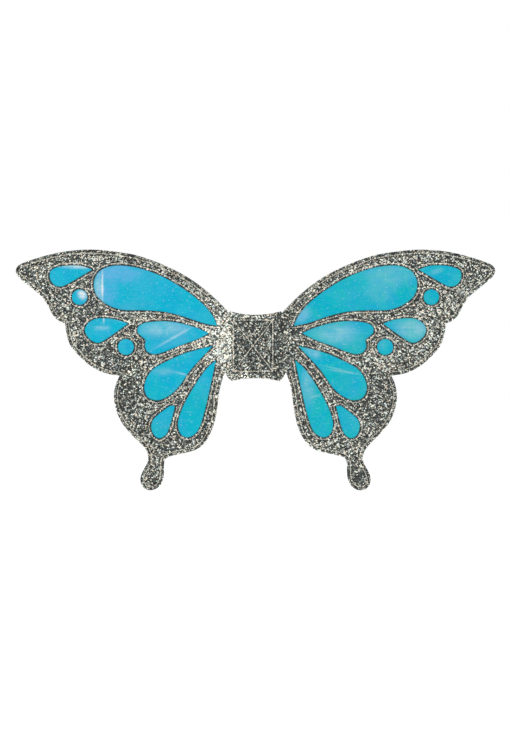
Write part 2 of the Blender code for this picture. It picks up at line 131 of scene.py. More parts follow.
class WingsFilm(PropertyGroup):
    """Sizes and colours of the iridescent film."""

    pitch: length("Mesh pitch", "Distance between the film's vertices", 1.7 * MM)
    thickness: length("Thickness", "Thickness of the film", 0.15 * MM)
    ripple: length("Ripple", "Height of the film's soft ripples", 0.35 * MM)
    turquoise: colour("Turquoise", "Main colour of the film", (0.0, 0.41, 0.57))
    deep: colour("Deep turquoise", "Colour of the film where it reflects less", (0.0, 0.34, 0.56))
    green: colour("Green turquoise", "Colour that the right wing's film leans to", (0.0, 0.40, 0.445))
    lilac: colour("Lilac", "Colour of the film's cool reflections", (0.09, 0.385, 0.64))
    pale: colour("Pale", "Colour of the film's bright reflections", (0.64, 0.72, 0.75))


class WingsThread(PropertyGroup):
    """Sizes and colour of the stitches."""

    stitch: length("Stitch", "Distance from one stitch to the next", 3.5 * MM)
    gap: length("Gap", "Distance between two stitches", 0.7 * MM)
    width: length("Width", "Width of the thread", 1.1 * MM)
    tone: colour("Thread", "Colour of the thread", (0.80, 0.73, 0.60))


class WingsStrap(PropertyGroup):
    """Sizes and colour of the elastic loops."""

    step: length("Step", "Length of one step of the strap's mesh", 1.6 * MM)
    rib: length("Rib", "Height of the ribs along the elastic", 0.3 * MM)
    tone: colour("Elastic", "Colour of the elastic", (0.80, 0.80, 0.78))


class WingsStage(PropertyGroup):
    """Camera distance and floor of the stage."""

    distance: length("Camera distance", "Distance from the camera to the outer cloth", 2.6)
    view_height: length("View height", "Height that the picture covers at the wings", 1.1664)
    floor_drop: length("Floor drop", "Distance from the picture's middle down to the floor", 0.60)
    floor: colour("Floor", "Colour of the floor", (0.9, 0.9, 0.9))


SETTINGS = {"cloth": WingsCloth, "film": WingsFilm, "thread": WingsThread, "strap": WingsStrap,
            "stage": WingsStage}


def settings(kind):
    """Return the scene's settings of one kind."""
    return getattr(bpy.context.scene, "wings_" + kind)


# ---- Curves in the wings' plane: arrays of (x, z) ----

def smooth(knots, steps=6):
    """Return points along a centripetal Catmull-Rom curve through the knots, ends included."""
    knots = [np.array(knot, dtype=float) for knot in knots]
    knots = [2 * knots[0] - knots[1]] + knots + [2 * knots[-1] - knots[-2]]
    points = []
    for a, b, c, d in zip(knots, knots[1:], knots[2:], knots[3:]):
        tb = np.linalg.norm(b - a) ** 0.5
        tc = tb + np.linalg.norm(c - b) ** 0.5
        td = tc + np.linalg.norm(d - c) ** 0.5
        for t in tb + (tc - tb) * np.arange(steps) / steps:
            ab = ((tb - t) * a + t * b) / tb
            bc = ((tc - t) * b + (t - tb) * c) / (tc - tb)
            cd = ((td - t) * c + (t - tc) * d) / (td - tc)
            abc = ((tc - t) * ab + t * bc) / tc
            bcd = ((td - t) * bc + (t - tb) * cd) / (td - tb)
            points.append(((tc - t) * abc + (t - tb) * bcd) / (tc - tb))
    return np.array(points + [knots[-2]])


def spaced(curve, pitch):
    """Return the open curve with its points at an even pitch, ends included."""
    arc = np.concatenate(([0], np.cumsum(np.linalg.norm(np.diff(curve, axis=0), axis=1))))
    places = np.linspace(0, arc[-1], max(2, round(arc[-1] / pitch) + 1))
    return np.column_stack([np.interp(places, arc, curve[:, axis]) for axis in range(curve.shape[1])])


def turns(loop):
    """Return how far the closed curve turns at each of its points."""
    heading = np.roll(loop, -1, axis=0) - loop
    angle = np.arctan2(heading[:, 1], heading[:, 0])
    return (angle - np.roll(angle, 1) + math.pi) % (2 * math.pi) - math.pi


def rounded(loop, pitch):
    """Return the faceted closed curve as a smooth one that keeps its corners, anticlockwise."""
    if np.sum(turns(loop)) < 0:
        loop = loop[::-1]
    corners = list(np.flatnonzero(np.abs(turns(loop)) > CORNER_TURN))
    if not corners:
        curve = smooth(np.vstack([loop[-2:], loop, loop[:3]]))
        steps = 6
        return spaced(curve[2 * steps:-2 * steps], pitch)[:-1]
    points = []
    for start, end in zip(corners, corners[1:] + [corners[0] + len(loop)]):
        stretch = loop[np.arange(start, end + 1) % len(loop)]
        points.append(spaced(smooth(stretch), pitch)[:-1])
    return np.vstack(points)


def node_loops(node):
    """Return the outlines of a flat node's face, the longest first."""
    copy = bmesh.new()
    copy.from_mesh(frame["nodes"][node].data)
    bmesh.ops.remove_doubles(copy, verts=copy.verts, dist=0.01 * MM)
    copy.verts.index_update()
    front = {face for face in copy.faces if face.normal.y < -0.9}
    rim = [edge for edge in copy.edges if sum(face in front for face in edge.link_faces) == 1]
    beside = {}
    for edge in rim:
        first, second = edge.verts
        beside.setdefault(first.index, []).append(second.index)
        beside.setdefault(second.index, []).append(first.index)
    places = np.array([(vert.co.x, vert.co.z) for vert in copy.verts])
    loops = []
    while beside:
        start, (current, _) = next(iter(beside.items()))
        loop = [start]
        while current != start:
            previous, loop = loop[-1], loop + [current]
            one, other = beside[current]
            current = other if one == previous else one
        for index in loop:
            del beside[index]
        loops.append(places[loop])
    copy.free()
    return sorted(loops, key=lambda loop: -np.ptp(loop, axis=0).sum())


def nearest(points, curve, closed=True):
    """Return each point's distance from the curve, and how far along the curve its nearest place is."""
    curve = np.vstack([curve, curve[:1]]) if closed else np.asarray(curve)
    curve = spaced(curve, 0.5 * MM)
    tree = kdtree.KDTree(len(curve))
    for index, (x, z) in enumerate(curve.tolist()):
        tree.insert((x, z, 0), index)
    tree.balance()
    closest = np.array([tree.find((x, z, 0))[1] for x, z in points.tolist()], dtype=int)
    step = np.linalg.norm(np.diff(curve, axis=0), axis=1)
    arc = np.concatenate(([0], np.cumsum(step)))
    gap, place = np.full(len(points), np.inf), np.zeros(len(points))
    for start in (np.maximum(closest - 1, 0), np.minimum(closest, len(curve) - 2)):
        run = curve[start + 1] - curve[start]
        share = np.clip(((points - curve[start]) * run).sum(axis=1) / step[start] ** 2, 0, 1)
        away = np.linalg.norm(points - curve[start] - share[:, None] * run, axis=1)
        closer = away < gap
        gap[closer], place[closer] = away[closer], (arc[start] + share * step[start])[closer]
    return gap, place


def inside(points, loop):
    """Return which points lie inside the closed curve."""
    loop = np.asarray(loop)
    found = np.zeros(len(points), dtype=bool)
    within = np.flatnonzero(((points >= loop.min(axis=0)) & (points <= loop.max(axis=0))).all(axis=1))
    x, z = points[within].T
    hits = np.zeros(len(within), dtype=bool)
    for (xa, za), (xb, zb) in zip(loop, np.roll(loop, -1, axis=0)):
        if za == zb:
            continue
        crosses = (za > z) != (zb > z)
        hits ^= crosses & (x < (xb - xa) * (z - za) / (zb - za) + xa)
    found[within] = hits
    return found


def moved(curve, distance, closed=True):
    """Return the curve moved to its left by the distance, round at the corners it opens."""
    heading = np.roll(curve, -1, axis=0) - curve
    angle = np.arctan2(heading[:, 1], heading[:, 0])
    if not closed:
        angle[-1] = angle[-2]
    points = []
    previous = angle[-1] if closed else angle[0]
    for place, this in zip(curve, angle):
        turn = (this - previous + math.pi) % (2 * math.pi) - math.pi
        steps = max(1, math.ceil(abs(turn) / 0.3)) if turn * distance < 0 else 1
        for step in range(steps):
            normal = previous + turn * (step + 0.5) / steps + math.pi / 2
            points.append(place + distance * np.array((math.cos(normal), math.sin(normal))))
        previous = this
    points = np.array(points)
    return points[nearest(points, curve, closed)[0] > abs(distance) * 0.97]


def clipped(loop, limit, side):
    """Return the part of the closed curve that lies further from the middle than the limit."""
    kept = []
    for a, b in zip(loop, np.roll(loop, -1, axis=0)):
        if side * a[0] >= limit:
            kept.append(a)
        if (side * a[0] >= limit) != (side * b[0] >= limit):
            share = (side * limit - a[0]) / (b[0] - a[0])
            kept.append(a + share * (b - a))
    return np.array(kept)


# Painted light (+) and shade (-) on the glitter, and painted lilac and pale reflections on the film:
# (x, z, half width, half height, turn in degrees, strength), in mm
PAINTED_LIGHT_SPOTS = [
    (-50, 5, 22, 48, 0, 0.27), (-88, 10, 40, 70, 0, 0.12), (40, 0, 20, 50, 0, -0.13),
    (-190, -80, 40, 40, 0, -0.08), (190, -80, 44, 44, 0, -0.08), (-170, 115, 90, 12, -10, -0.02),
    (-320, 118, 40, 25, 0, 0.05), (300, 90, 60, 50, 0, 0.02), (-160, -215, 20, 20, 0, -0.05),
    (160, -215, 20, 20, 0, -0.10),
]
# Painted lilac reflections on the film.
LILAC_REFLECTION_SPOTS = [
    (-221.6, 115.2, 36, 16, -5, 0.9), (-236, 83.2, 14, 18, 0, 0.6), (76, 48, 14, 9, 40, 0.35),
    (-135, 3, 30, 5, 10, 0.25), (92, -11, 12, 8, -30, 0.3), (-245, 20, 14, 9, 0, 0.2),
]
# Painted pale reflections on the film, thin stripes among them as painted crease highlights.
PALE_REFLECTION_SPOTS = [
    (-251.2, 89.6, 6.5, 22, 0, 0.34), (-245, 92.8, 1.1, 27, 0, 0.85), (-242.9, 41.6, 1.1, 7, 0, 0.8),
    (-284, 126.5, 24, 4, 0, 0.7), (-277.5, 80.5, 6, 7.5, 45, 0.85), (-245.6, 27.2, 12, 3.5, 0, 0.22),
    (-215.2, 40, 9, 3, -10, 0.2), (-148, 25.6, 36, 13, 0, 0.20), (-129.6, 12.8, 33, 1.8, 29.7, 0.3),
    (-148, -42.6, 15, 6, 0, 0.14), (-116, -46.4, 13, 1.5, -15, 0.25), (-200, 60, 30, 12, 20, 0.04),
    (216.8, 112, 42, 16, 0, 0.10), (199, 85, 24, 14, 0, 0.06), (76, 48, 14, 9, 40, 0.14),
    (130.4, 17.6, 34, 16, 0, 0.17), (252, 25.6, 30, 16, 0, 0.2), (92, -11, 13, 8, -30, 0.15),
    (143.2, -43.2, 26, 1.3, -8, 0.2), (130, -38, 22, 1.1, -12, 0.15), (84, -64, 11, 26, 0, 0.12),
    (96, -82, 10, 1.5, 20, 0.15), (205.6, 0, 9, 9, 0, 0.05), (290, 118, 10, 4, 20, 0.12),
]


# ---- Flat patterns and the pieces made from them ----

def cut_pattern(outline, holes, pitch):
    """Return a pattern's points and triangles, fine enough to be quilted."""
    low, high = outline.min(axis=0), outline.max(axis=0)
    row = pitch * math.sqrt(3) / 2
    grid = [(x + (index % 2) * pitch / 2, z)
            for index, z in enumerate(np.arange(low[1], high[1], row))
            for x in np.arange(low[0], high[0], pitch)]
    grid = np.array(grid)
    grid = grid[inside(grid, outline)]
    for hole in holes:
        grid = grid[~inside(grid, hole)]
    grid = grid[nearest(grid, outline)[0] > 0.6 * pitch]
    for hole in holes:
        near = ((grid > hole.min(axis=0) - pitch) & (grid < hole.max(axis=0) + pitch)).all(axis=1)
        near[near] = nearest(grid[near], hole)[0] < 0.6 * pitch
        grid = grid[~near]
    edges = []
    count = 0
    for loop in (outline, *holes):
        edges += [(count + index, count + (index + 1) % len(loop)) for index in range(len(loop))]
        count += len(loop)
    points = np.vstack([outline, *holes, grid])
    points, _, faces = geometry.delaunay_2d_cdt([Vector(point) for point in points], edges, [], 0, 1e-7)[:3]
    points = np.array([(point.x, point.y) for point in points])
    faces = np.array([face for face in faces])
    middle = points[faces].mean(axis=1)
    keep = inside(middle, outline)
    for hole in holes:
        keep &= ~inside(middle, hole)
    return points, faces[keep]


def add_mesh(name, vertices, faces, material, smooth_angle=40):
    """Link a new mesh with its material, shaded smooth up to an angle."""
    data = bpy.data.meshes.new(name)
    data.from_pydata([tuple(point) for point in vertices], [], [tuple(face) for face in faces])
    data.validate()
    data.materials.append(material)
    item = bpy.data.objects.new(name, data)
    bpy.context.collection.objects.link(item)
    data.shade_smooth()
    data.set_sharp_from_angle(angle=math.radians(smooth_angle))
    return item


def add_sheet(name, pattern, outer, inner, material):
    """Make a closed sheet from a pattern and the depths of its two faces, outer towards -Y."""
    points, faces = pattern
    top = np.column_stack([points[:, 0], outer, points[:, 1]])
    bottom = np.column_stack([points[:, 0], inner, points[:, 1]])
    edges = np.vstack([faces[:, [0, 1]], faces[:, [1, 2]], faces[:, [2, 0]]])
    known = {tuple(edge) for edge in edges}
    rim = [edge for edge in known if edge[::-1] not in known]
    count = len(points)
    walls = [(a, count + a, count + b, b) for a, b in rim]
    solid = [tuple(face) for face in faces] + [tuple(face[::-1] + count) for face in faces] + walls
    return add_mesh(name, np.vstack([top, bottom]), solid, material)


def store(piece, name, values):
    """Give each vertex of a sheet a value; both faces take the pattern's values."""
    data = piece.data.attributes.new(name, "FLOAT", "POINT")
    data.data.foreach_set("value", np.concatenate([values, values]).astype(np.float32))


def spots(points, places):
    """Return the sum of soft oval spots, each given as in the lists above."""
    total = np.zeros(len(points))
    for x, z, wide, high, turn, strength in places:
        away = points / MM - (x, z)
        across, up = math.cos(math.radians(turn)), math.sin(math.radians(turn))
        oval = ((away[:, 0] * across + away[:, 1] * up) / wide) ** 2
        oval += ((away[:, 1] * across - away[:, 0] * up) / high) ** 2
        total += strength * np.exp(-oval ** 1.5)
    return total


def waves(points, seed, size):
    """Return soft undulation of about -1 to 1, with humps of about the size."""
    chance = np.random.default_rng(seed)
    total = np.zeros(len(points))
    for _ in range(9):
        angle = chance.uniform(0, 2 * math.pi)
        wave = 2 * math.pi / (size * chance.uniform(0.7, 1.8))
        along = points @ (math.cos(angle), math.sin(angle))
        total += np.sin(wave * along + chance.uniform(0, 2 * math.pi))
    return total / 4


def eased(value):
    """Return the value eased from 0 to 1."""
    value = np.clip(value, 0, 1)
    return value * value * (3 - 2 * value)


def bell(away, width):
    """Return a soft bump, 1 where the distance is nought; the width is in mm."""
    return np.exp(-(away / (width * MM)) ** 2)


# ---- The shape of a wing ----

BACK_TUCK = 4.5 * MM  # how far the back cloth runs past the fold, under the band's back
FILM_GAP = 0.1 * MM  # space between the film and each cloth
MIDDLE_GAP = 0.05 * MM  # half the space between the two cloths where they meet round the edge
BACK_SEAM_DEPTH = 2.3 * MM  # how far the seams pull the back cloth in


class Wing:
    """One wing's smooth curves, and the depths of its quilted cloth."""

    def __init__(self, name, side):
        """Read the wing's curves from the frame."""
        node = f"{name}_wing_front_skin"
        pitch = settings("cloth").pitch
        self.name, self.side = name, side
        facets = node_loops(node)
        self.windows = [rounded(loop, pitch) for loop in facets[1:]]
        flap = node_loops(f"{name}_root_flap")[0]
        tucked = FOLD_X - BACK_TUCK
        self.outline = rounded(self.with_root(facets[0], flap), pitch)
        self.back_outline = rounded(self.with_root(facets[0], clipped(flap, tucked, side)), pitch)
        out = side * self.outline[:, 0] > FOLD_X - 0.1 * MM
        first = next(index for index in range(len(out)) if out[index] and not out[index - 1])
        self.edge = np.roll(self.outline, -first, axis=0)[:out.sum()]
        low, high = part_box(node)
        self.front_face = low.y
        self.back_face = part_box(f"{name}_wing_back_skin")[1].y
        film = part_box(f"{name}_wing_film")
        self.film_y = (film[0].y + film[1].y) / 2
        self.channel = self.seam_distance(f"{name}_wing_edge_seam", self.edge, False)
        self.window_seam = self.seam_distance(f"{name}_wing_large_seam", self.windows[0], True)

    def with_root(self, wing, flap):
        """Return the wing's outline joined to its root's, across the fold."""
        paths = []
        for loop in (wing, flap):
            near = np.abs(np.abs(loop[:, 0]) - FOLD_X) < 0.6 * MM
            start = next(index for index in range(len(loop)) if near[index] and near[index - 1])
            path = np.roll(loop, -start, axis=0)
            paths.append(path if path[0][1] < path[-1][1] else path[::-1])
        out, root = paths[0], paths[1][::-1]
        foot, top = (out[0] + root[-1]) / 2, (out[-1] + root[0]) / 2
        return np.vstack([[foot], out[1:-1], [top], root[1:-1]])

    def seam_distance(self, node, curve, closed):
        """Return how far the middle of a seam's thread lies from a curve."""
        points = np.vstack(node_loops(node))
        points = points[self.side * points[:, 0] > FOLD_X + 20 * MM]
        gap = nearest(points, curve, closed)[0]
        return (gap.min() + gap.max()) / 2

    def places(self, points):
        """Return each point's distance from the edge and the nearest window, each with its place along it."""
        edge, edge_arc = nearest(points, self.edge, False)
        window = np.full(len(points), 1.0)
        window_arc = np.zeros(len(points))
        reach = 20 * MM
        for loop in self.windows:
            near = (points > loop.min(axis=0) - reach) & (points < loop.max(axis=0) + reach)
            near = np.flatnonzero(near.all(axis=1))
            gap, arc = nearest(points[near], loop)
            closer = gap < window[near]
            window[near[closer]], window_arc[near[closer]] = gap[closer], arc[closer]
        return edge, edge_arc, window, window_arc

    def puffed(self, points, puff, seed):
        """Return how high the padding stands between the seams, and the distances that it follows."""
        cloth = settings("cloth")
        edge, edge_arc, window, window_arc = self.places(points)
        from_edge, from_window = edge - self.channel, window - self.window_seam
        seam = np.minimum(from_edge, from_window)
        arc = np.where(from_edge < from_window, edge_arc, window_arc)
        rise = 1 - np.exp(-(np.maximum(seam, 0) / cloth.puff_run) ** 1.5)
        gathers = np.sin(2 * math.pi * arc / (2 * settings("thread").stitch))
        gathers *= np.exp(-np.abs(seam) / (2.2 * MM)) * cloth.pucker
        lumps = waves(points, seed, 38 * MM) * 0.22 * MM + waves(points, seed + 1, 13 * MM) * 0.10 * MM
        return rise * (puff + lumps) + gathers * (seam > -1 * MM), edge, window

    def painted_light_and_shade(self, points):
        """Return the cloth's painted light and shade: at its seams, its rims and in soft areas."""
        edge, _, window, _ = self.places(points)
        away = eased((self.side * points[:, 0] - FOLD_X) / (8 * MM))
        from_edge, from_window = edge - self.channel, window - self.window_seam
        # Painted shade at the window rims and beside the seams, with the seam lines paler.
        shade = -0.45 * bell(window, 1.2)
        shade += 0.10 * bell(from_window, 1.1)
        shade -= 0.18 * bell(from_window - 1.8 * MM, 0.9)
        # A painted highlight along the outer rim, and painted shade beside the edge seam.
        shade += 0.10 * bell(edge, 1.3) * away
        shade -= 0.16 * bell(from_edge + 2.0 * MM, 0.9) * away
        shade += 0.12 * bell(from_edge, 0.9) * away
        shade -= 0.14 * bell(from_edge - 1.9 * MM, 0.9) * away
        # A painted highlight under the box seam on the root, with painted shade beside it.
        root = np.abs(points[:, 0]) < FOLD_X
        shade[root] += seam_shade(points[root])
        # Soft spots of painted light and shade.
        return shade + spots(points, PAINTED_LIGHT_SPOTS)

    def root_share(self, points, start, end):
        """Return 0 on the wing and 1 on its root, eased between two distances from the middle."""
        return eased((start - self.side * points[:, 0]) / (start - end))

    def front_depth(self, points):
        """Return the depth of the outer cloth's outer face."""
        cloth = settings("cloth")
        rise, edge, window = self.puffed(points, cloth.front_puff, 11 if self.side < 0 else 23)
        seam_y = self.film_y - FILM_GAP - cloth.thickness
        depth = seam_y - rise
        turned = self.middle_y() - MIDDLE_GAP - cloth.thickness
        share = edge / self.channel
        tube = turned + (seam_y - turned) * (1 - np.clip(1 - share, 0, 1) ** 3)
        tube -= 0.45 * MM * np.sin(math.pi * share)
        depth = np.where(edge < self.channel, tube, depth)
        share = window / self.window_seam
        depth = np.where(window < self.window_seam, seam_y - 0.12 * MM * np.sin(math.pi * share), depth)
        crease = bell(np.abs(points[:, 0]) - FOLD_X + 6.4 * MM, 1.6) * 0.45 * MM
        rim = nearest(points, self.outline)[0]
        flap = self.front_face + crease + 0.5 * MM * np.exp(-rim / (0.9 * MM))
        flap -= waves(points, 5, 16 * MM) * 0.12 * MM
        share = self.root_share(points, FOLD_X + 5 * MM, FOLD_X - 2 * MM)
        return depth * (1 - share) + flap * share

    def back_depth(self, points):
        """Return the depth of the inner cloth's outer face, which looks towards the wearer."""
        cloth = settings("cloth")
        rise, edge, window = self.puffed(points, cloth.back_puff, 37 if self.side < 0 else 41)
        seam_y = self.back_face - BACK_SEAM_DEPTH
        rim_y = self.film_y + FILM_GAP + cloth.thickness
        depth = seam_y + rise
        turned = self.middle_y() + MIDDLE_GAP + cloth.thickness
        share = np.clip(edge / self.channel, 0, 1)
        tube = turned + (seam_y - turned) * share + 1.8 * MM * np.sin(math.pi * share) ** 0.8
        depth = np.where(edge < self.channel, tube, depth)
        share = window / self.window_seam
        depth = np.where(window < self.window_seam, rim_y + (seam_y - rim_y) * eased(share), depth)
        share = self.root_share(points, FOLD_X + 4 * MM, FOLD_X - 0.8 * MM)
        return depth * (1 - share) + (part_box("band_back")[0].y - 0.15 * MM) * share

    def film_depth(self, points):
        """Return the depth of the film, which ripples only inside the windows."""
        depth = np.full(len(points), self.film_y)
        ripple = settings("film").ripple
        for loop in self.windows:
            within = inside(points, loop)
            rim = nearest(points[within], loop)[0]
            spread = np.column_stack([points[within][:, 0] * 1.6, points[within][:, 1]])
            depth[within] -= eased(rim / (14 * MM)) * ripple * waves(spread, 71, 60 * MM)
        return depth

    def middle_y(self):
        """Return the depth of the wing's middle, where its two skins meet round the edge."""
        return (self.front_face + self.back_face) / 2


SHAPES = []


def ask_wings():
    """Return both wings' shapes, made once."""
    if not SHAPES:
        SHAPES.extend(Wing(name, side) for name, side in SIDES)
    return SHAPES


# ---- Materials ----

class Nodes:
    """A short way to build a node tree."""

    def __init__(self, tree):
        """Start with an empty tree."""
        self.tree = tree
        tree.nodes.clear()

    def add(self, kind, **values):
        """Add a shader node with its settings."""
        node = self.tree.nodes.new("ShaderNode" + kind)
        for name, value in values.items():
            setattr(node, name, value)
        return node

    def put(self, node, **inputs):
        """Set or link a node's inputs, named with underscores for spaces or by number as i0, i1."""
        for name, value in inputs.items():
            key = int(name[1:]) if name[0] == "i" and name[1:].isdigit() else name.replace("_", " ")
            socket = node.inputs[key]
            if isinstance(value, bpy.types.NodeSocket):
                self.tree.links.new(value, socket)
            elif socket.type == "RGBA" and len(value) == 3:
                socket.default_value = (*value, 1)
            else:
                socket.default_value = value
        return node

    def math(self, operation, a, b=0.0, clamp=False):
        """Add a Math node and return its output."""
        node = self.add("Math", operation=operation, use_clamp=clamp)
        return self.put(node, i0=a, i1=b).outputs[0]

    def vector(self, operation, a, b=(0, 0, 0)):
        """Add a Vector Math node and return its output."""
        node = self.add("VectorMath", operation=operation)
        return self.put(node, i0=a, i1=b).outputs[0]

    def scaled(self, a, scale):
        """Add a Vector Math node that scales and return its output."""
        node = self.add("VectorMath", operation="SCALE")
        return self.put(node, i0=a, Scale=scale).outputs[0]

    def noise(self, vector, scale, detail=2.0, roughness=0.5, distortion=0.0):
        """Add a Noise Texture and return its value."""
        node = self.add("TexNoise")
        self.put(node, Vector=vector, Scale=scale, Detail=detail, Roughness=roughness, Distortion=distortion)
        return node.outputs[0]

    def ramp(self, factor, stops, interpolation="LINEAR"):
        """Add a Color Ramp with (place, colour or grey) stops and return its colour."""
        node = self.add("ValToRGB")
        node.color_ramp.interpolation = interpolation
        elements = node.color_ramp.elements
        while len(elements) < len(stops):
            elements.new(1)
        for element, (place, tone) in zip(elements, stops):
            element.position = place
            element.color = (*tone, 1) if hasattr(tone, "__len__") else (tone, tone, tone, 1)
        self.put(node, Fac=factor)
        return node.outputs["Color"]

    def mix(self, factor, a, b, blend="MIX"):
        """Add a colour Mix node and return its colour."""
        node = self.add("Mix", data_type="RGBA", blend_type=blend)
        return self.put(node, i0=factor, i6=a, i7=b).outputs[2]

    def objects(self):
        """Add a Texture Coordinate node and return its object coordinates."""
        return self.add("TexCoord").outputs["Object"]

    def group(self, tree, **inputs):
        """Place a node group with its inputs and return it."""
        return self.put(self.add("Group", node_tree=tree), **inputs)

    def bump(self, height, strength, distance):
        """Add a Bump node and return its normal."""
        return self.put(self.add("Bump"), Height=height, Strength=strength, Distance=distance).outputs[0]


def start_group(name, inputs, outputs):
    """Return a new node group, its nodes, and its input and output nodes."""
    tree = bpy.data.node_groups.new(name, "ShaderNodeTree")
    for label, kind, default in inputs:
        socket = tree.interface.new_socket(label, in_out="INPUT", socket_type="NodeSocket" + kind)
        if default is not None:
            socket.default_value = default
    for label, kind in outputs:
        tree.interface.new_socket(label, in_out="OUTPUT", socket_type="NodeSocket" + kind)
    nodes = Nodes(tree)
    return tree, nodes, tree.nodes.new("NodeGroupInput"), tree.nodes.new("NodeGroupOutput")


def ask_group(name, make):
    """Return the named node group, made the first time it is asked for."""
    return bpy.data.node_groups.get(name) or make(name)


def make_flakes(name):
    """Build the glitter group: flakes of random tone, tint and tilt, with smaller ones among them."""
    tree, nodes, given, result = start_group(
        name,
        [("Vector", "Vector", None), ("Normal", "Vector", None), ("Width", "Float", 0.003),
         ("Dark", "Color", (0, 0, 0, 1)), ("Silver", "Color", (0.3, 0.3, 0.3, 1)),
         ("Bright", "Color", (1, 1, 1, 1)), ("Tilt", "Float", 0.9), ("Shade", "Float", 0.0)],
        [("Color", "Color"), ("Metallic", "Float"), ("Roughness", "Float"), ("Normal", "Vector")])
    scale = nodes.math("DIVIDE", 1.0, given.outputs["Width"])
    place = given.outputs["Vector"]
    cells = nodes.put(nodes.add("TexVoronoi"), Vector=place, Scale=scale)
    crumbs = nodes.put(nodes.add("TexVoronoi"), Vector=place, Scale=nodes.math("MULTIPLY", scale, 2.3))
    parts = nodes.put(nodes.add("SeparateColor"), Color=cells.outputs["Color"])
    tone, tint, kind = parts.outputs[0], parts.outputs[1], parts.outputs[2]
    crumb = nodes.put(nodes.add("SeparateColor"), Color=crumbs.outputs["Color"]).outputs[0]
    fine = nodes.math("MULTIPLY", nodes.math("SUBTRACT", crumb, 0.5), 0.34)
    lit = nodes.math("ADD", nodes.math("ADD", tone, fine), given.outputs["Shade"])
    silver = nodes.ramp(lit, [(0.26, 0.0), (0.60, 1.0)])
    bright = nodes.ramp(lit, [(0.63, 0.0), (0.86, 1.0)])
    body = nodes.mix(silver, given.outputs["Dark"], given.outputs["Silver"])
    body = nodes.mix(bright, body, given.outputs["Bright"])
    tints = [(0.0, (0.80, 1.0, 0.90)), (0.20, (1.0, 0.78, 0.62)), (0.38, (0.74, 0.88, 1.0)),
             (0.62, (1.0, 0.94, 0.76)), (0.82, (1, 1, 1)), (1.0, (0.95, 0.95, 1))]
    tints = nodes.ramp(tint, tints, "CONSTANT")
    tinted = nodes.mix(0.6, body, nodes.mix(1.0, body, tints, "MULTIPLY"))
    random = nodes.vector("SUBTRACT", crumbs.outputs["Color"], (0.5, 0.5, 0.5))
    tilted = nodes.vector("ADD", given.outputs["Normal"], nodes.scaled(random, given.outputs["Tilt"]))
    nodes.put(result, Color=tinted, Normal=nodes.vector("NORMALIZE", tilted),
              Metallic=nodes.ramp(kind, [(0.0, 0.15), (0.4, 0.6), (1.0, 0.85)]),
              Roughness=nodes.ramp(kind, [(0.0, 0.34), (0.5, 0.46), (1.0, 0.26)]))
    return tree


def make_fibres(name):
    """Build the fibre group: a fine uneven height for thread, felt and elastic."""
    tree, nodes, given, result = start_group(
        name, [("Vector", "Vector", None), ("Size", "Float", 0.0004), ("Unevenness", "Float", 0.5)],
        [("Height", "Float"), ("Shade", "Float")])
    scale = nodes.math("DIVIDE", 1.0, given.outputs["Size"])
    fine = nodes.noise(given.outputs["Vector"], scale, 3, 0.6)
    broad = nodes.noise(given.outputs["Vector"], nodes.math("MULTIPLY", scale, 0.08), 2)
    uneven = nodes.math("MULTIPLY", nodes.math("SUBTRACT", broad, 0.5), given.outputs["Unevenness"])
    nodes.put(result, Height=fine, Shade=nodes.math("ADD", fine, uneven, clamp=True))
    return tree


def start_material(name, **shader_values):
    """Return a new material's nodes and its Principled BSDF, linked to the output."""
    material = bpy.data.materials.new(name)
    material.use_nodes = True
    nodes = Nodes(material.node_tree)
    shader = nodes.put(nodes.add("BsdfPrincipled"), **shader_values)
    nodes.tree.links.new(shader.outputs[0], nodes.add("OutputMaterial").inputs[0])
    return material, nodes, shader


def glitter(name):
    """Make the glitter cloth's material."""
    cloth = settings("cloth")
    material, nodes, shader = start_material(name, Specular_IOR_Level=0.5)
    coordinates = nodes.objects()
    normal = nodes.add("NewGeometry").outputs["Normal"]
    broad = nodes.math("SUBTRACT", nodes.noise(coordinates, 30, 3, 0.6), 0.72)
    clusters = nodes.math("SUBTRACT", nodes.noise(coordinates, 170, 2, 0.5), 0.5)
    shade = nodes.math("ADD", nodes.math("MULTIPLY", broad, 0.35), nodes.math("MULTIPLY", clusters, 0.35))
    # The cloth's painted light and shade, stored on its vertices.
    painted_light_and_shade = nodes.add("Attribute", attribute_name="shade").outputs["Fac"]
    flakes = nodes.group(ask_group("Glitter flakes", make_flakes), Vector=coordinates, Normal=normal,
                         Width=cloth.flake, Dark=cloth.dark, Silver=cloth.silver, Bright=cloth.bright,
                         Tilt=0.8, Shade=nodes.math("ADD", shade, painted_light_and_shade)).outputs
    nodes.put(shader, Base_Color=flakes[0], Metallic=flakes[1], Roughness=flakes[2], Normal=flakes[3])
    return material


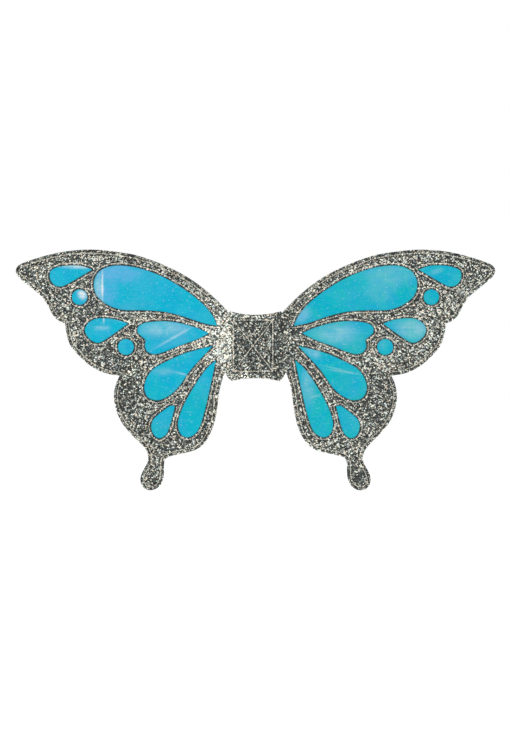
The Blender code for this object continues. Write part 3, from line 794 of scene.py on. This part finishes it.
def film_finish(name):
    """Make the film's material: glossy turquoise with painted lilac and pale reflections in soft patches."""
    film = settings("film")
    material, nodes, shader = start_material(name, Metallic=0.1, Roughness=0.25, Coat_Weight=0.07,
                                             Coat_Roughness=0.08, Specular_IOR_Level=0.10)
    coordinates = nodes.objects()
    cloud = nodes.ramp(nodes.noise(coordinates, 22, 4, 0.6), [(0.42, 0.0), (0.80, 1.0)])
    turned = nodes.add("Mapping")
    turned = nodes.put(turned, Vector=coordinates, Scale=(60, 1, 700), Rotation=(0, 0.35, 0)).outputs[0]
    scratches = nodes.ramp(nodes.noise(turned, 1, 3, 0.65), [(0.52, 0.0), (0.70, 1.0)])
    specks = nodes.ramp(nodes.noise(coordinates, 330, 2, 0.5), [(0.62, 0.0), (0.72, 1.0)])
    # Painted lilac and pale reflections, stored on the film's vertices.
    lilac = nodes.add("Attribute", attribute_name="lilac").outputs["Fac"]
    pale = nodes.add("Attribute", attribute_name="pale").outputs["Fac"]
    uneven = nodes.math("ADD", nodes.noise(turned, 0.4, 4, 0.7), nodes.noise(coordinates, 90, 4, 0.6))
    uneven = nodes.math("SUBTRACT", nodes.math("MULTIPLY", uneven, 2.2), 1.2)
    depth = nodes.ramp(nodes.noise(coordinates, 34, 4, 0.62, 0.8), [(0.38, 1.0), (0.60, 0.0)])
    green = nodes.add("Attribute", attribute_name="green").outputs["Fac"]
    body = nodes.mix(green, film.turquoise, film.green)
    body = nodes.mix(nodes.math("MULTIPLY", depth, 0.6), body, film.deep)
    body = nodes.mix(nodes.math("MULTIPLY", lilac, uneven, clamp=True), body, film.lilac)
    # Marks on the film, then the painted pale reflections, all mixed towards the pale colour and bumped.
    marks_and_painted_reflections = nodes.math("ADD", nodes.math("MULTIPLY", cloud, 0.045), nodes.math("MULTIPLY", scratches, 0.05))
    marks_and_painted_reflections = nodes.math("ADD", marks_and_painted_reflections, nodes.math("MULTIPLY", specks, 0.16))
    marks_and_painted_reflections = nodes.math("ADD", marks_and_painted_reflections, nodes.math("MULTIPLY", pale, uneven), clamp=True)
    body = nodes.mix(marks_and_painted_reflections, body, film.pale)
    nodes.put(shader, Base_Color=body, Normal=nodes.bump(marks_and_painted_reflections, 0.2, 0.6 * MM))
    return material


# The plainer materials: tone, or the settings that hold it; size of the grain, roughness, bump and sheen
GRAINS = {
    "Cotton thread": ("thread", 0.25 * MM, 0.7, 0.5, 0.3),
    "Woven elastic": ("strap", 0.9 * MM, 0.8, 0.8, 0.3),
    "Black felt": ((0.030, 0.030, 0.033), 0.9 * MM, 0.95, 1.0, 0.4),
    "Soft foam": ((0.75, 0.74, 0.70), 0.8 * MM, 0.95, 0.8, 0.3),
    "Plastic sleeve": ((0.62, 0.62, 0.60), 1.5 * MM, 0.35, 0.1, 0.0),
    "Stiffener": ((0.10, 0.10, 0.11), 1.2 * MM, 0.6, 0.2, 0.0),
}


def grained(name):
    """Make a material from the list above."""
    tone, size, roughness, strength, sheen = GRAINS[name]
    tone = tuple(settings(tone).tone) if isinstance(tone, str) else tone
    material, nodes, shader = start_material(name, Roughness=roughness, Sheen_Weight=sheen,
                                             Sheen_Roughness=0.5)
    coordinates = nodes.objects()
    fibres = nodes.group(ask_group("Fibres", make_fibres), Vector=coordinates, Size=size, Unevenness=0.8)
    dark = tuple(0.55 * channel for channel in tone)
    nodes.put(shader, Base_Color=nodes.mix(fibres.outputs["Shade"], dark, tone),
              Normal=nodes.bump(fibres.outputs["Height"], strength, size))
    return material


def galvanised(name):
    """Make the edge wire's material."""
    material, nodes, shader = start_material(name, Metallic=1.0)
    spangle = nodes.noise(nodes.objects(), 700, 3, 0.6)
    nodes.put(shader, Base_Color=nodes.ramp(spangle, [(0.3, 0.38), (0.7, 0.62)]),
              Roughness=nodes.ramp(spangle, [(0.3, 0.28), (0.7, 0.46)]))
    return material


def floor_finish(name):
    """Make the pale floor's material."""
    material, nodes, shader = start_material(name, Roughness=0.6, Emission_Color=(1, 1, 1),
                                             Emission_Strength=0.75)
    tone = tuple(settings("stage").floor)
    dull = tuple(0.97 * channel for channel in tone)
    nodes.put(shader, Base_Color=nodes.mix(nodes.noise(nodes.objects(), 6, 2), dull, tone))
    return material


FINISHES = {"Glitter cloth": glitter, "Iridescent film": film_finish, "Galvanised wire": galvanised,
            "Pale floor": floor_finish}


def ask_material(name):
    """Return the named material, made the first time it is asked for."""
    return bpy.data.materials.get(name) or FINISHES.get(name, grained)(name)


# ---- Making and placing pieces ----

def declare(nodes):
    """Hide the CAD nodes that a sheet replaces."""
    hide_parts(*nodes)


def follow_fold(piece, wing, start, end):
    """Bake the cloth's placement into its mesh."""
    start, end = ((wing.side * place, wing.front_face, 0) for place in (start, end))
    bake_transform(piece)


def dress(material, *nodes):
    """Give CAD nodes a finish."""
    for node in nodes:
        item = frame["nodes"][node]
        if not item.material_slots:
            item.data.materials.append(material)
        for place in item.material_slots:
            place.material = material


STITCH_DIP = 0.3 * MM  # how far the ends of a stitch go down into the cloth
STITCH_UNEVEN = 0.05  # spread of the stitches' lengths, and of their turns in radians


def model_stitch():
    """Model one stitch: a short thread along X whose ends dip towards +Y, into the cloth."""
    thread = settings("thread")
    reach = thread.stitch - thread.gap
    bpy.ops.object.select_all(action="DESELECT")
    bpy.ops.mesh.primitive_cylinder_add(vertices=6, radius=thread.width / 2, depth=reach * 0.5,
                                        rotation=(0, math.pi / 2, 0))
    item = bpy.context.object
    bpy.ops.object.transform_apply(location=False, rotation=True, scale=False)
    for way in (-1, 1):
        bpy.ops.object.mode_set(mode="EDIT")
        bpy.ops.mesh.select_mode(type="FACE")
        bpy.ops.mesh.select_all(action="DESELECT")
        mesh = bmesh.from_edit_mesh(item.data)
        for face in mesh.faces:
            face.select_set(face.normal.x * way > 0.9)
        bmesh.update_edit_mesh(item.data)
        tip = (way * reach / 2, STITCH_DIP, 0)
        bpy.ops.mesh.extrude_region_move(TRANSFORM_OT_translate={"value": (way * reach / 4, STITCH_DIP, 0)})
        bpy.ops.transform.resize(value=(1, 0.5, 0.5), center_override=tip)
        bpy.ops.object.mode_set(mode="OBJECT")
    vertices = np.array([vertex.co for vertex in item.data.vertices])
    faces = [tuple(face.vertices) for face in item.data.polygons]
    bpy.data.objects.remove(item)
    return vertices, faces


def stitch_places(closed=(), open_runs=()):
    """Return the middles and directions of the stitches along closed curves and along open ones."""
    places, runs = [], []
    for curve in (*(np.vstack([loop, loop[:1]]) for loop in closed), *open_runs):
        steps = spaced(curve, settings("thread").stitch)
        places.append((steps[1:] + steps[:-1]) / 2)
        runs.append(steps[1:] - steps[:-1])
    return np.vstack(places), np.vstack(runs)


def add_stitches(name, places, runs, depth, towards):
    """Copy the stitch to each place; towards is 1 where the cloth lies on its +Y side, else -1."""
    vertices, faces = model_stitch()
    chance = np.random.default_rng(7)
    along = runs / np.linalg.norm(runs, axis=1)[:, None]
    turn = chance.normal(0, STITCH_UNEVEN, len(places))
    run_x = (along[:, 0] * np.cos(turn) - along[:, 1] * np.sin(turn))[:, None]
    run_z = (along[:, 0] * np.sin(turn) + along[:, 1] * np.cos(turn))[:, None]
    size = chance.normal(1, STITCH_UNEVEN, len(places))[:, None]
    x = places[:, 0, None] + vertices[:, 0] * run_x * size - towards * vertices[:, 2] * run_z
    z = places[:, 1, None] + vertices[:, 0] * run_z * size + towards * vertices[:, 2] * run_x
    y = depth[:, None] + towards * vertices[:, 1]
    count = len(vertices)
    solid = [tuple(index + count * copy for index in face) for copy in range(len(places)) for face in faces]
    vertices = np.stack([x, y, z], axis=2).reshape(-1, 3)
    piece = add_mesh(name, vertices, solid, ask_material("Cotton thread"))
    return piece


class WINGS_OT_front_cloth(Operator):
    """Quilt the glitter cloth over the outer side of each wing and wrap its root onto the band"""

    bl_idname = "wings.front_cloth"
    bl_label = "Front cloth"

    def execute(self, context):
        """Make both wings' front cloth."""
        cloth = settings("cloth")
        for wing in ask_wings():
            pattern = cut_pattern(wing.outline, wing.windows, cloth.pitch)
            outer = wing.front_depth(pattern[0])
            piece = add_sheet(f"{wing.name}_front_cloth", pattern, outer, outer + cloth.thickness,
                              ask_material("Glitter cloth"))
            # Painted light and shade on the cloth's vertices.
            store(piece, "shade", wing.painted_light_and_shade(pattern[0]))
            declare([f"{wing.name}_wing_front_skin", f"{wing.name}_root_flap"])
            follow_fold(piece, wing, FOLD_X - 1.5 * MM, FOLD_X + 1.5 * MM)
        return {"FINISHED"}


class WINGS_OT_back_cloth(Operator):
    """Quilt the glitter cloth over the inner side of each wing"""

    bl_idname = "wings.back_cloth"
    bl_label = "Back cloth"

    def execute(self, context):
        """Make both wings' back cloth."""
        cloth = settings("cloth")
        for wing in ask_wings():
            pattern = cut_pattern(wing.back_outline, wing.windows, cloth.pitch)
            outer = wing.back_depth(pattern[0])
            piece = add_sheet(f"{wing.name}_back_cloth", pattern, outer - cloth.thickness, outer,
                              ask_material("Glitter cloth"))
            # Painted light and shade as on the front, a little darker.
            store(piece, "shade", wing.painted_light_and_shade(pattern[0]) - 0.08)
            declare([f"{wing.name}_wing_back_skin"])
            follow_fold(piece, wing, FOLD_X - 4 * MM, FOLD_X + 4 * MM)
        return {"FINISHED"}


class WINGS_OT_film(Operator):
    """Stretch the iridescent film behind each wing's windows"""

    bl_idname = "wings.film"
    bl_label = "Film"

    def execute(self, context):
        """Make both wings' film."""
        film = settings("film")
        for wing in ask_wings():
            node = f"{wing.name}_wing_film"
            loop = rounded(node_loops(node)[0], film.pitch)
            pattern = cut_pattern(loop, [], film.pitch)
            middle = wing.film_depth(pattern[0])
            outer, inner = middle - film.thickness / 2, middle + film.thickness / 2
            piece = add_sheet(f"{wing.name}_film", pattern, outer, inner, ask_material("Iridescent film"))
            # Painted lilac and pale reflections, fixed on the film.
            store(piece, "lilac", np.clip(spots(pattern[0], LILAC_REFLECTION_SPOTS), 0, 1))
            store(piece, "pale", np.clip(spots(pattern[0], PALE_REFLECTION_SPOTS), 0, 1))
            green = 0.12 if wing.side < 0 else 0.78
            green += waves(pattern[0], 83, 60 * MM) * 0.15 + 0.5 * eased(-pattern[0][:, 1] / (80 * MM) - 0.25)
            store(piece, "green", np.clip(green, 0, 1))
            declare([node])
            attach(piece, f"{wing.name}_wing")
        return {"FINISHED"}


class WINGS_OT_foam(Operator):
    """Lay the foam between the two cloths of each wing"""

    bl_idname = "wings.foam"
    bl_label = "Foam"

    def execute(self, context):
        """Make both wings' foam."""
        pitch = 2.6 * MM
        for wing in ask_wings():
            node = f"{wing.name}_wing_foam_core"
            outline, *holes = (rounded(loop, pitch) for loop in node_loops(node))
            pattern = cut_pattern(outline, holes, pitch)
            inner = wing.back_depth(pattern[0]) - settings("cloth").thickness - 0.1 * MM
            outer = np.minimum(wing.film_y + 0.2 * MM, inner - 0.2 * MM)
            piece = add_sheet(f"{wing.name}_foam", pattern, outer, inner, ask_material("Soft foam"))
            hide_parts(node)
            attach(piece, f"{wing.name}_wing")
        return {"FINISHED"}


class WINGS_OT_stitches(Operator):
    """Sew the seams round the windows and along the edges, on both sides of each wing"""

    bl_idname = "wings.stitches"
    bl_label = "Wing stitches"

    def execute(self, context):
        """Make both wings' stitches."""
        width = settings("thread").width
        for wing in ask_wings():
            rings = [moved(loop, -wing.window_seam) for loop in wing.windows]
            places, runs = stitch_places(rings, [moved(wing.edge, wing.channel, closed=False)])
            edge, _, window, _ = wing.places(places)
            keep = (window > 0.93 * wing.window_seam) & (edge > 0.93 * wing.channel)
            keep &= wing.side * places[:, 0] > FOLD_X + 3 * MM
            places, runs = places[keep], runs[keep]
            front = add_stitches(f"{wing.name}_front_stitches", places, runs,
                                 wing.front_depth(places) - 0.25 * width, 1)
            back = add_stitches(f"{wing.name}_back_stitches", places, runs,
                                wing.back_depth(places) + 0.25 * width, -1)
            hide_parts(*(f"{wing.name}_wing_{place}_seam" for place in (*WINDOWS, "edge")))
            for piece in (front, back):
                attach(piece, f"{wing.name}_wing")
        return {"FINISHED"}


# ---- The band ----

THREAD_HALF = 0.55 * MM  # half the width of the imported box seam
PRESS = 0.45 * MM  # depth to which the box seam pulls the cloth in
PATCH_INSET = 3 * MM  # from the patch's border, and from the elastic's, to the stitches


def box_lines():
    """Return the box seam's runs: its four sides and its cross."""
    low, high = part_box("box_seam")
    left, right = low.x + THREAD_HALF, high.x - THREAD_HALF
    foot, top = low.z + THREAD_HALF, high.z - THREAD_HALF
    a, b, c, d = (np.array(corner) for corner in ((left, foot), (right, foot), (right, top), (left, top)))
    return [np.array(run) for run in ((a, b), (b, c), (c, d), (d, a), (a, c), (b, d))]


def seam_gap(points):
    """Return each point's distance from the box seam."""
    return np.min([nearest(points, run, closed=False)[0] for run in box_lines()], axis=0)


def pressed(points):
    """Return how far the box seam pulls the cloth in."""
    return PRESS * bell(seam_gap(points), 1.3)


def seam_shade(points):
    """Return the painted highlight under the box seam and the painted shade beside it."""
    gap = seam_gap(points)
    return 0.30 * bell(gap, 0.9) - 0.25 * bell(gap - 2.1 * MM, 0.9)


def band_depth(points):
    """Return the depth of the band's outer cloth."""
    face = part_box("band_front")[0].y - waves(points, 3, 22 * MM) * 0.12 * MM
    rim = nearest(points, rounded(node_loops("band_front")[0], 2 * MM))[0]
    return face + pressed(points) + 0.5 * MM * np.exp(-rim / (1.0 * MM))


def surface_depth(points):
    """Return the depth of the outermost cloth on the band: a root flap's, or the band's own between them."""
    depth = band_depth(points)
    for wing in ask_wings():
        flap = wing.front_depth(points)
        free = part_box(f"{wing.name}_root_flap")[1 if wing.side < 0 else 0].x
        depth = np.where(wing.side * points[:, 0] > wing.side * free, flap, depth)
    return depth


def patch_depth(points):
    """Return the depth of the back patch's face: pressed down at its border, lifted over the elastic."""
    loop = rounded(node_loops("back_patch")[0], 2 * MM)
    rim = nearest(points, loop)[0]
    across, height = np.abs(points[:, 0]), np.abs(points[:, 1])
    low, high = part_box("right_strap_top_end")
    middle, half = (low.z + high.z) / 2, (high.z - low.z) / 2
    beside = np.hypot(np.maximum(0, np.abs(height - middle) - half), np.maximum(0, low.x - across))
    lift = 1 - eased(beside / (6 * MM))
    drop = 1.75 * MM * bell(rim, 4) + 0.5 * MM
    stitched = 0.25 * MM * bell(rim - PATCH_INSET, 1)
    lumps = 0.1 * MM * (1 + waves(points, 9, 18 * MM))
    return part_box("back_patch")[1].y - drop * (1 - lift) - stitched - lumps


class WINGS_OT_band(Operator):
    """Make the centre band: its glitter front, its felt back and the patch over the elastic's ends"""

    bl_idname = "wings.band"
    bl_label = "Band"

    def execute(self, context):
        """Make the band's three cloths and their stitches."""
        pitch = settings("cloth").pitch
        felt = ask_material("Black felt")
        pattern = cut_pattern(rounded(node_loops("band_front")[0], pitch), [], pitch)
        outer = band_depth(pattern[0])
        front = add_sheet("band_front_cloth", pattern, outer, outer + 0.6 * MM, ask_material("Glitter cloth"))
        low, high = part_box("box_seam")
        hem = np.maximum(low.z - pattern[0][:, 1], pattern[0][:, 1] - high.z)
        # Painted shade over the band, paler hems, and a painted highlight along the box seam with painted
        # shade beside it.
        store(front, "shade", 0.16 * eased(hem / (2 * MM)) - 0.07 + 0.7 * seam_shade(pattern[0]))
        declare(["band_front"])
        loop = rounded(node_loops("band_back")[0], pitch)
        pattern = cut_pattern(loop, [], pitch)
        rim = nearest(pattern[0], loop)[0]
        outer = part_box("band_back")[1].y - 0.35 * MM * np.exp(-rim / (1.2 * MM))
        outer -= waves(pattern[0], 6, 25 * MM) * 0.06 * MM
        back = add_sheet("band_back_felt", pattern, outer - 0.65 * MM, outer, felt)
        declare(["band_back"])
        loop = rounded(node_loops("back_patch")[0], pitch)
        pattern = cut_pattern(loop, [], pitch)
        outer = patch_depth(pattern[0])
        patch = add_sheet("back_patch_felt", pattern, outer - 0.8 * MM, outer, felt)
        declare(["back_patch"])
        places, runs = stitch_places(open_runs=[spaced(run, MM) for run in box_lines()])
        box = add_stitches("box_seam_stitches", places, runs, surface_depth(places) - 0.25 * MM, 1)
        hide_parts("box_seam")
        rings = [moved(loop, PATCH_INSET)]
        low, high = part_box("right_strap_top_end")
        near, far = low.x + 2 * MM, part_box("back_patch")[1].x - 3 * PATCH_INSET / 2
        for near_x, far_x in ((-near, -far), (near, far)):
            for foot, top in ((low.z, high.z), (-high.z, -low.z)):
                foot, top = foot + PATCH_INSET, top - PATCH_INSET
                rings.append(np.array([(near_x, foot), (far_x, foot), (far_x, top), (near_x, top)]))
        places, runs = stitch_places(rings)
        border = add_stitches("back_patch_stitches", places, runs, patch_depth(places) + 0.12 * MM, -1)
        for piece in (front, back, patch, box, border):
            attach(piece, "root")
        dress(ask_material("Stiffener"), "band_plate")
        return {"FINISHED"}


# ---- The elastic loops ----

STRAP_SPLAY = math.radians(45)  # between a loop's plane and straight ahead of the wearer
TWIST_RUN = 56 * MM  # length in which the elastic turns from upright to flat against the shoulder
STRAP_RIBS = 7


def strap_profile(width, depth, rib):
    """Return the elastic's ribbed section as (across, through), going round."""
    across = np.linspace(-1, 1, 4 * STRAP_RIBS + 1)
    height = depth / 2 - rib * (0.5 + 0.5 * np.cos(across * STRAP_RIBS * math.pi))
    height[[0, -1]] = depth / 4
    top = np.column_stack([across * width / 2, height])
    return np.vstack([top, -top])


def strap_path(wing, step):
    """Return the elastic's middle line with its splay and twist at each point."""
    low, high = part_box(f"{wing.name}_strap_top_end")
    tip = min(abs(low.x), abs(high.x))
    side = wing.side
    depth = (low.y + high.y) / 2
    ahead = np.array((side * math.sin(STRAP_SPLAY), math.cos(STRAP_SPLAY), 0))
    loop = [ahead * out + np.array((side * STRAP_HINGE.x, depth, height))
            for out, height in smooth(LOOP_ROUTE, 10)]
    top = np.linspace((side * tip, depth, LOOP_ROUTE[0][1]), loop[0], 20)[:-1]
    foot = np.linspace(loop[-1], (side * tip, depth, LOOP_ROUTE[-1][1]), 20)[1:]
    path = spaced(np.vstack([top, loop, foot]), step)
    sewn = side * path[:, 0] < STRAP_HINGE.x
    theta = np.where(sewn, math.pi / 2, STRAP_SPLAY)
    for _ in range(4):
        path[1:-1] = (path[:-2] + 2 * path[1:-1] + path[2:]) / 4
        theta[1:-1] = (theta[:-2] + 2 * theta[1:-1] + theta[2:]) / 4
    arc = np.arange(len(path)) * step
    free = arc[~sewn]
    share = np.minimum(arc - free[0], free[-1] - arc) / TWIST_RUN
    return path, theta, eased(share) * math.pi / 2


class WINGS_OT_straps(Operator):
    """Weave the two elastic arm loops, with their ends sewn under the patch"""

    bl_idname = "wings.straps"
    bl_label = "Elastic loops"

    def execute(self, context):
        """Make both loops."""
        strap = settings("strap")
        for wing in ask_wings():
            low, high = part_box(f"{wing.name}_strap_top_end")
            profile = strap_profile(high.z - low.z, high.y - low.y, strap.rib)
            path, theta, twist = strap_path(wing, strap.step)
            heading = np.gradient(path, axis=0)
            heading /= np.linalg.norm(heading, axis=1)[:, None]
            across = np.column_stack([wing.side * np.cos(theta), -np.sin(theta), np.zeros(len(theta))])
            upright = np.cross(across, heading)
            width = upright * np.cos(twist)[:, None] + across * np.sin(twist)[:, None]
            width /= np.linalg.norm(width, axis=1)[:, None]
            through = np.cross(heading, width)
            rings = width[:, None] * profile[:, 0, None] + through[:, None] * profile[:, 1, None]
            rings += path[:, None]
            count, size = rings.shape[:2]
            faces = [(ring * size + index, ring * size + (index + 1) % size,
                      (ring + 1) * size + (index + 1) % size, (ring + 1) * size + index)
                     for ring in range(count - 1) for index in range(size)]
            faces += [tuple(range(size))[::-1], tuple((count - 1) * size + index for index in range(size))]
            piece = add_mesh(f"{wing.name}_elastic_loop", rings.reshape(-1, 3), faces,
                             ask_material("Woven elastic"))
            name = f"{wing.name}_strap"
            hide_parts(f"{name}_loop", f"{name}_top_end", f"{name}_bottom_end")
            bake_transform(piece)
        return {"FINISHED"}


class WINGS_OT_wires(Operator):
    """Finish the hidden edge wires and their sleeves"""

    bl_idname = "wings.wires"
    bl_label = "Edge wires"

    def execute(self, context):
        """Give the wires and sleeves their materials."""
        for name, _ in SIDES:
            dress(ask_material("Galvanised wire"), f"{name}_wing_edge_wire")
            dress(ask_material("Plastic sleeve"), f"{name}_wing_wire_sleeve")
        return {"FINISHED"}


# ---- The stage ----

def add_light(name, place, size, power):
    """Add a soft square light that faces the origin."""
    data = bpy.data.lights.new(name, "AREA")
    data.shape = "SQUARE"
    data.size = size
    data.energy = power
    item = bpy.data.objects.new(name, data)
    bpy.context.collection.objects.link(item)
    item.location = place
    item.rotation_euler = (-Vector(place)).to_track_quat("-Z", "Y").to_euler()


class WINGS_OT_stage(Operator):
    """Set the camera, the soft lights and the pale floor"""

    bl_idname = "wings.stage"
    bl_label = "Stage"

    def execute(self, context):
        """Make the stage."""
        stage = settings("stage")
        scene = context.scene
        scene.view_settings.view_transform = "Standard"
        world = bpy.data.worlds.new("Studio")
        world.use_nodes = True
        nodes = Nodes(world.node_tree)
        seen = nodes.put(nodes.add("Background"), Color=(1, 1, 1), Strength=1.0)
        around = nodes.put(nodes.add("Background"), Color=(0.95, 0.97, 1), Strength=0.40)
        direct = nodes.add("LightPath").outputs["Is Camera Ray"]
        mixed = nodes.put(nodes.add("MixShader"), i0=direct, i1=around.outputs[0], i2=seen.outputs[0])
        nodes.put(nodes.add("OutputWorld"), i0=mixed.outputs[0])
        scene.world = world
        add_light("Key", (-1.1, -2.0, 1.5), 1.4, 27)
        add_light("Fill", (1.6, -1.9, 0.3), 1.6, 12)
        add_light("Back key", (0.9, 2.0, 1.6), 1.6, 24)
        add_light("Back fill", (-1.8, 1.7, 0.6), 1.6, 11)
        bpy.ops.object.select_all(action="DESELECT")
        bpy.ops.mesh.primitive_plane_add(size=14, location=(0, 0, -stage.floor_drop))
        floor = context.object
        bpy.ops.object.transform_apply(location=True, rotation=False, scale=False)
        floor.name = "floor"
        floor.data.materials.append(ask_material("Pale floor"))
        data = bpy.data.cameras.new("Camera")
        data.sensor_width = 36
        data.lens = 36 * stage.distance / stage.view_height
        camera = bpy.data.objects.new("Camera", data)
        context.collection.objects.link(camera)
        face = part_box("left_wing_front_skin")[0].y
        camera.location = (-0.8 * MM, face - stage.distance, -31.2 * MM)
        camera.rotation_euler = (math.pi / 2, 0, 0)
        scene.camera = camera
        return {"FINISHED"}


OPERATORS = (WINGS_OT_stage, WINGS_OT_front_cloth, WINGS_OT_back_cloth, WINGS_OT_film, WINGS_OT_foam,
             WINGS_OT_stitches, WINGS_OT_band, WINGS_OT_straps, WINGS_OT_wires)


class WINGS_PT_panel(Panel):
    """The pieces of the wings and their sizes"""

    bl_idname = "WINGS_PT_panel"
    bl_label = "Fairy wings"
    bl_space_type = "VIEW_3D"
    bl_region_type = "UI"
    bl_category = "Fairy wings"

    def draw(self, context):
        """List the settings and the operators."""
        for kind, group in SETTINGS.items():
            box = self.layout.box()
            box.label(text=kind.capitalize())
            for name in group.__annotations__:
                box.prop(settings(kind), name)
        for operator in OPERATORS:
            self.layout.operator(operator.bl_idname)


def register():
    """Add the classes and the scene's settings."""
    for item in (*SETTINGS.values(), *OPERATORS, WINGS_PT_panel):
        bpy.utils.register_class(item)
    for kind, group in SETTINGS.items():
        setattr(bpy.types.Scene, "wings_" + kind, PointerProperty(type=group))


def unregister():
    """Remove the scene's settings and the classes."""
    for kind in SETTINGS:
        delattr(bpy.types.Scene, "wings_" + kind)
    for item in (WINGS_PT_panel, *reversed(OPERATORS), *reversed(SETTINGS.values())):
        bpy.utils.unregister_class(item)


def main():
    """Make every piece."""
    register()
    for name in ("stage", "front_cloth", "back_cloth", "film", "foam", "stitches", "band", "straps", "wires"):
        getattr(bpy.ops.wings, name)()


if __name__ == "__main__":
    main()
